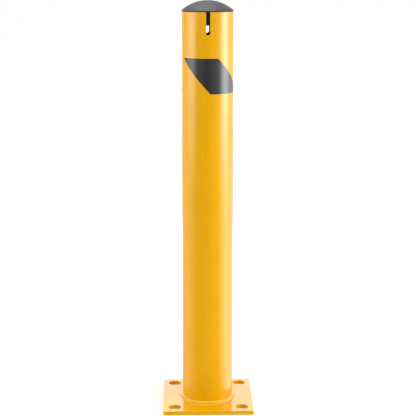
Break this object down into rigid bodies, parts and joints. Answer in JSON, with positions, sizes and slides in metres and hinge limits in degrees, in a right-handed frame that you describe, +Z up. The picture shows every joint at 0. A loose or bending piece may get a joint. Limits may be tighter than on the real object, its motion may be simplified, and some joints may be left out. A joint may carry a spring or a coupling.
{
  "type": "pipe bollard",
  "caption": "Fixed surface-mounted steel pipe bollard with a square anchor plate, chain slots at the top, a lift-off domed cap and slanted hazard tape.",
  "frame": {"origin": "centre of the base plate's underside", "axes": "+Z up along the post's axis; the plate's sides lie along X and Y; the chain slots face -Y (front) and +Y"},
  "size_m": [0.2032, 0.2032, 0.9144],
  "materials": {
    "yellow_coat": "glossy powder coat",
    "cap_plastic": "fine matte grain",
    "tape_film": "semi-gloss vinyl film"
  },
  "bodies": {
    "post": {"post_pipe": "yellow_coat", "base_plate": "yellow_coat", "base_weld": "yellow_coat", "front_stripe": "tape_film", "rear_stripe": "tape_film"},
    "cap": {"top_cap": "cap_plastic"}
  },
  "joints": [
    {"name": "cap_lift", "type": "slide", "parent": "post", "child": "cap", "axis": [0, 0, 1], "range_m": [0, 0.1]}
  ]
}
